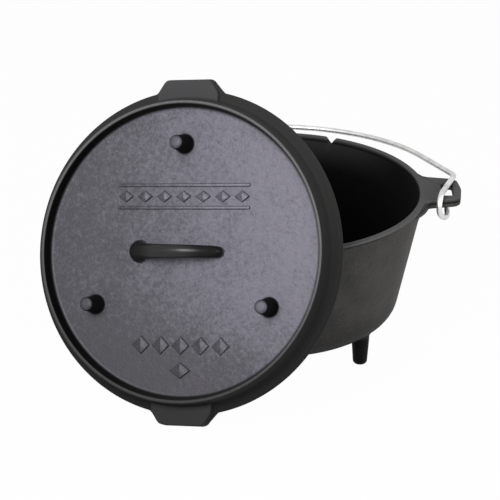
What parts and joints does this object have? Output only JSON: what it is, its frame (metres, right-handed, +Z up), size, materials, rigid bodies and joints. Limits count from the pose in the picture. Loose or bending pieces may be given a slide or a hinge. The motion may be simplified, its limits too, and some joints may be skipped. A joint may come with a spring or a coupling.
{
  "type": "camp dutch oven",
  "caption": "Cast-iron camp dutch oven: flared pot on legs, coal-ring lid with pegs and loop handle leaning on the rim, and a wire bail laid back.",
  "frame": {"origin": "on the pot's axis, on the ground between its feet", "axes": "+Z up along the pot's axis; X along the ears, with the notch on the +X side; +Y to the back, where the bail lies; the lid leans at the front left"},
  "size_m": [0.3892, 0.388, 0.286],
  "materials": {
    "iron": "seasoned, matt, with a fine cast grain",
    "lid_iron": "seasoned, satin, with a fine cast grain",
    "zinc_wire": "zinc-plated, satin"
  },
  "bodies": {
    "pot": {"pot": "iron"},
    "lid": {"lid": "lid_iron"},
    "bail": {"bail": "zinc_wire"}
  },
  "joints": [
    {"name": "bail_swing", "type": "hinge", "parent": "pot", "child": "bail", "pos_m": [0, -0.02114, 0.1453], "axis": [1, 0, 0], "range_deg": [0, 90]},
    {"name": "lid_lift", "type": "slide", "parent": "pot", "child": "lid", "axis": [0, 0, 1], "range_m": [0, 0.3]}
  ]
}
